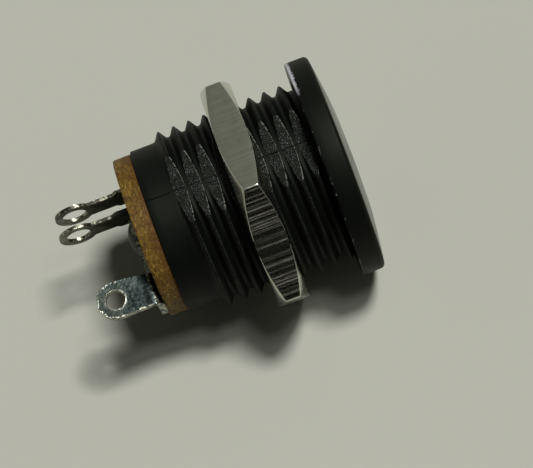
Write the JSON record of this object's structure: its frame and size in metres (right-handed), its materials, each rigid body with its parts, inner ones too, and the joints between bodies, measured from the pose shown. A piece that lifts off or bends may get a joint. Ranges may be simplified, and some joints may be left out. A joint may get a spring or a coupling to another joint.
{
  "type": "dc barrel jack",
  "caption": "Panel-mount DC power socket: threaded barrel with a domed flange, hex panel nut, phenolic back disk and solder lugs.",
  "frame": {"origin": "on the socket's axis, in the plane of the flange face that seats on the panel", "axes": "+X out of the plug mouth along the socket's axis; +Z away from the nut's lowest flat; +Y completes a right-handed frame"},
  "size_m": [0.0188, 0.0162, 0.014],
  "materials": {
    "black_plastic": "matte",
    "nickel_nut": "satin",
    "phenolic": "matte",
    "pin_metal": "gloss",
    "lug_metal": "satin",
    "contact_metal": "satin"
  },
  "bodies": {
    "socket": {"barrel": "black_plastic", "back_disk": "phenolic", "centre_pin": "pin_metal", "pin_lug": "lug_metal", "sleeve_contact": "contact_metal", "switch_contact": "contact_metal"},
    "nut": {"panel_nut": "nickel_nut"}
  },
  "joints": [
    {"name": "nut_turn", "type": "hinge", "parent": "socket", "child": "nut", "pos_m": [-0.00455, 0, 0], "axis": [1, 0, 0], "range_deg": [-2070, 1278]}
  ]
}
